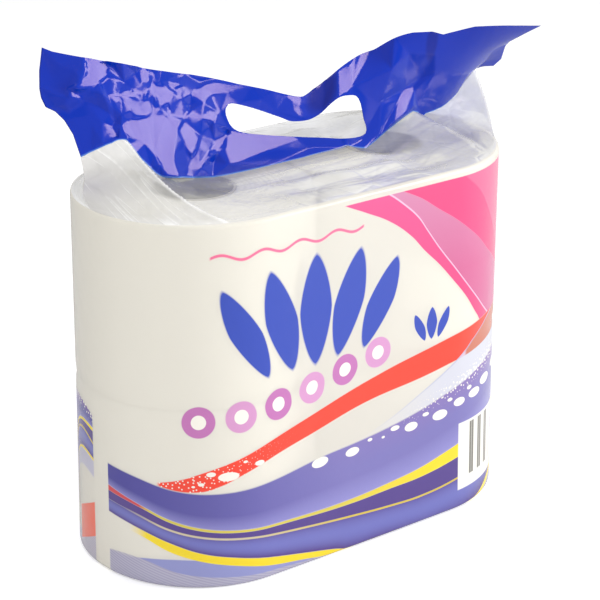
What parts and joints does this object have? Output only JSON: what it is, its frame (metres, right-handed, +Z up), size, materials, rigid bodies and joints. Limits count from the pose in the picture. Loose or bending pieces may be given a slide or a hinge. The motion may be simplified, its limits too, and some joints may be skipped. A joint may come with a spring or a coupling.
{
  "type": "toilet paper roll pack",
  "caption": "Pack of toilet paper rolls standing side by side in two layers, wrapped in a printed film bag with a flat carrying handle and a hand hole.",
  "frame": {"origin": "middle of the base, on the surface that the pack stands on", "axes": "+Z up, +X along the pack's long side to the right as seen from the front, -Y towards the front"},
  "size_m": [0.2873, 0.13, 0.2765],
  "materials": {
    "film": "glossy printed polyethylene film, clear at the shoulders and blue at the handle",
    "paper": "soft embossed tissue",
    "core_board": "plain grey board"
  },
  "bodies": {
    "root": {"film_bag": "film", "roll_lower_left": "paper", "core_lower_left": "core_board", "roll_lower_right": "paper", "core_lower_right": "core_board", "roll_upper_left": "paper", "core_upper_left": "core_board", "roll_upper_right": "paper", "core_upper_right": "core_board"}
  },
  "joints": []
}
